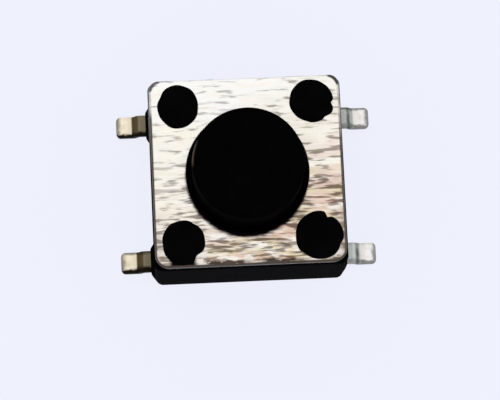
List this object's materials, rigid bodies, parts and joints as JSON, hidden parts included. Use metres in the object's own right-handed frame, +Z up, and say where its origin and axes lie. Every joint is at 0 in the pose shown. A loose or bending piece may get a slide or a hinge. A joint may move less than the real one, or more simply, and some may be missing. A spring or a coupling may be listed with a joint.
{
  "type": "tactile push button switch",
  "caption": "Square surface-mount push button switch: a round button in a brushed cover plate held by melted plastic posts, with gull-wing leads at its sides.",
  "frame": {"origin": "middle of the solder plane, on which the feet stand, under the button's axis", "axes": "+X across the switch between the leads' tips, +Y to the back, +Z up along the button's axis"},
  "size_m": [0.0084, 0.006, 0.005],
  "materials": {
    "housing_plastic": "moulded, satin black",
    "plate_steel": "brushed along X, lightly tarnished",
    "button_plastic": "moulded, matt black",
    "dome_steel": "bright spring steel",
    "terminal_silver": "silver-plated, satin"
  },
  "bodies": {
    "switch_body": {"housing": "housing_plastic", "cover_plate": "plate_steel", "snap_dome": "dome_steel", "middle_contact_terminal": "terminal_silver", "rim_contact_terminal": "terminal_silver"},
    "push_button": {"button": "button_plastic"}
  },
  "joints": [
    {"name": "button_press", "type": "slide", "parent": "switch_body", "child": "push_button", "axis": [0, 0, -1], "range_m": [0, 0.00025], "stiffness_N_per_m": 6000, "deforming": ["snap_dome"]}
  ]
}
